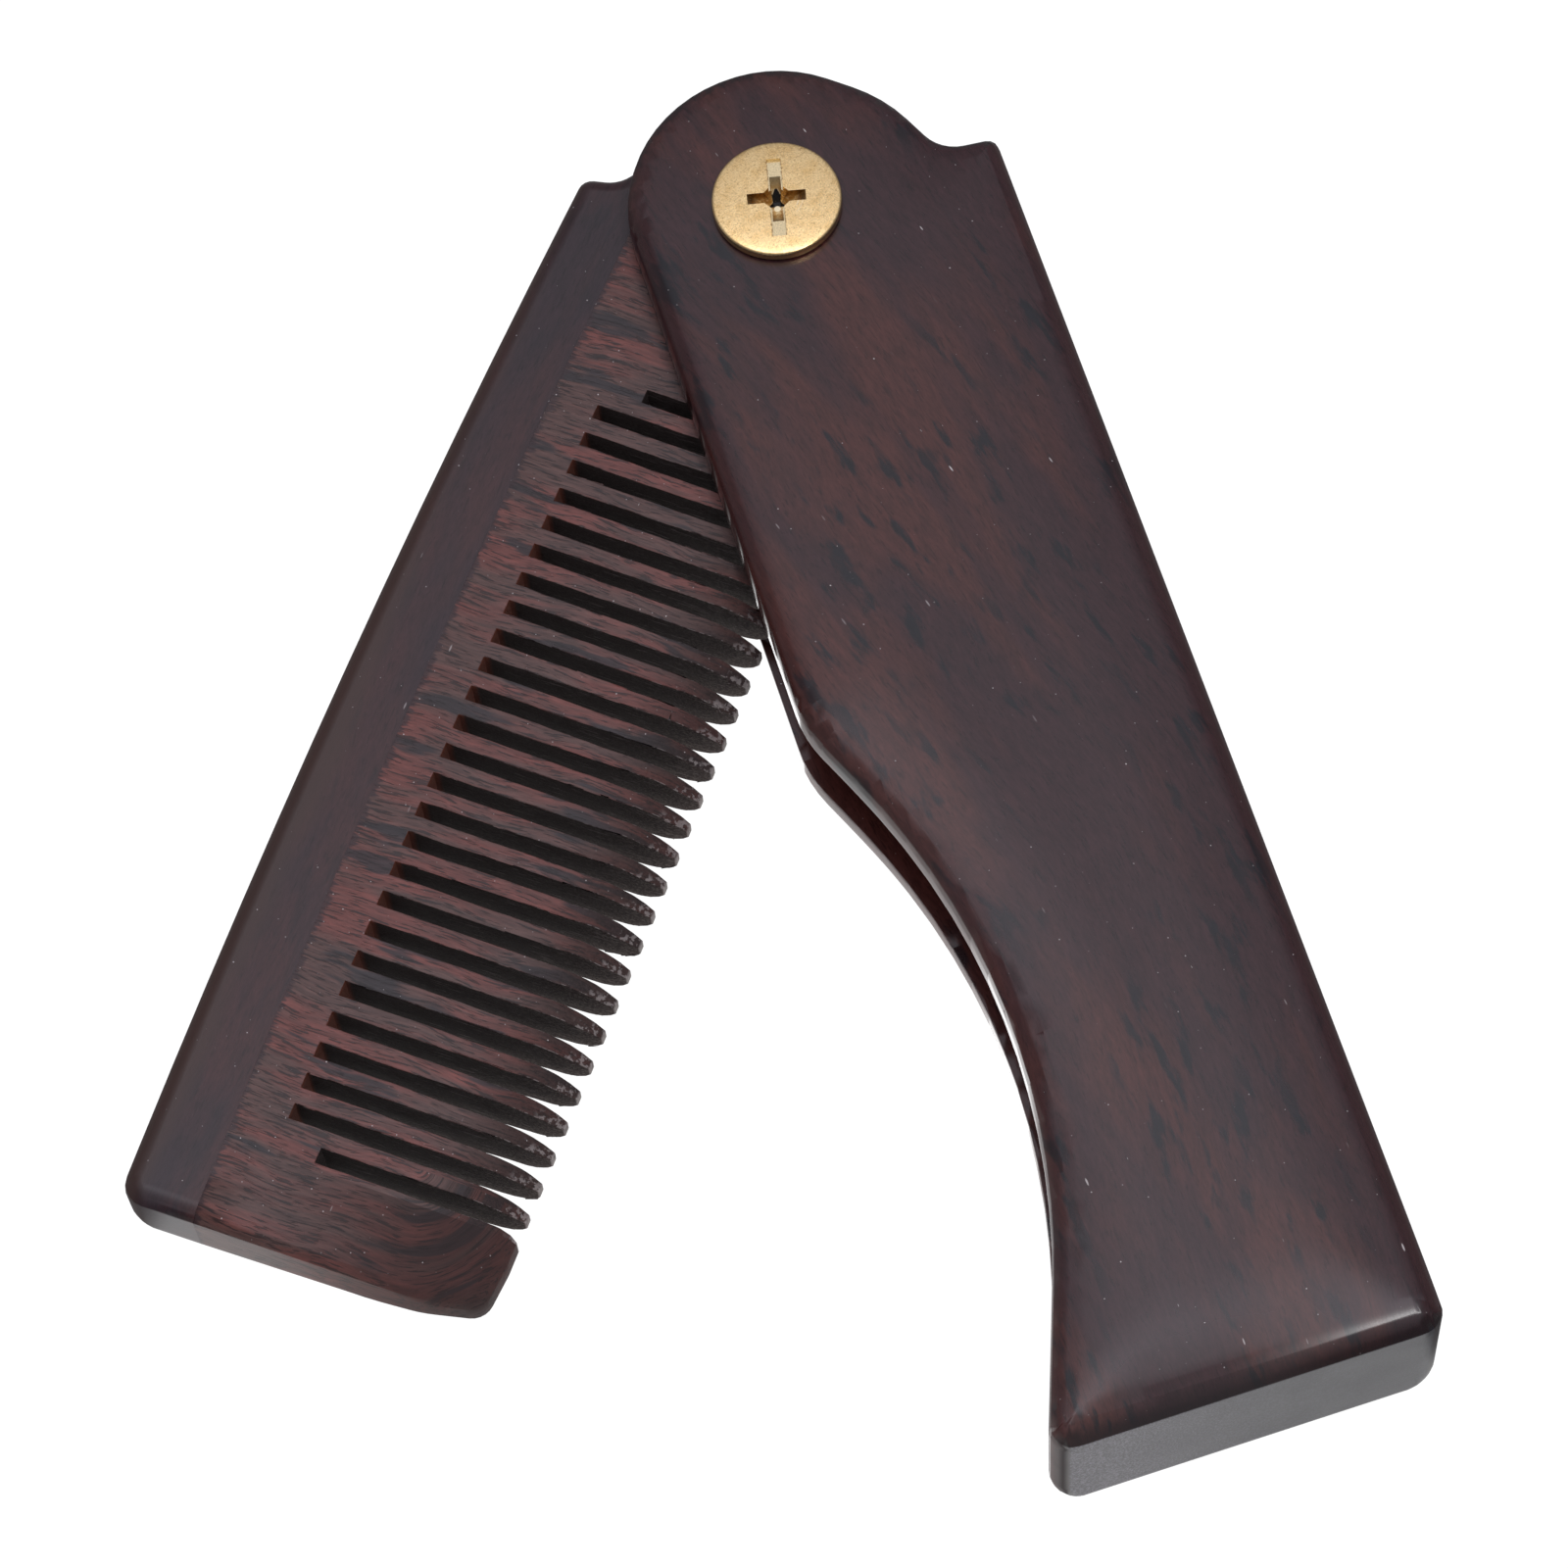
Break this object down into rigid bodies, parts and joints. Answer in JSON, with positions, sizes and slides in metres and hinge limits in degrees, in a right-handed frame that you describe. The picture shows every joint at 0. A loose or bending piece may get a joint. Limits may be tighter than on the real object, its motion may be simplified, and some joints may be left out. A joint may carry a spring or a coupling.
{
  "type": "folding comb",
  "caption": "Wooden pocket comb that folds on a brass screw into a slotted wooden handle with a waisted open edge and a round head.",
  "frame": {"origin": "on the pivot's axis, in the plane of the handle's back", "axes": "+Z out of the front, where the screw's head is; +Y from the pivot towards the handle's round head, with the handle's length along -Y; +X towards the handle's closed edge"},
  "size_m": [0.0863, 0.114, 0.0147],
  "materials": {
    "dark_wood": "oiled and polished dark reddish brown wood with darker streaks",
    "spine_wood": "oiled and polished very dark wood, grain along the spine",
    "tooth_wood": "oiled dark reddish brown wood, fibrous grain along the teeth",
    "brass": "finely brushed bare brass"
  },
  "bodies": {
    "handle": {"handle": "dark_wood", "pivot_screw": "brass", "pivot_post": "brass"},
    "comb": {"comb_spine": "spine_wood", "comb_teeth": "tooth_wood"}
  },
  "joints": [
    {"name": "comb_fold", "type": "hinge", "parent": "handle", "child": "comb", "pos_m": [0, 0, 0.00675], "axis": [0, 0, 1], "range_deg": [-142.2, 37.8]}
  ]
}
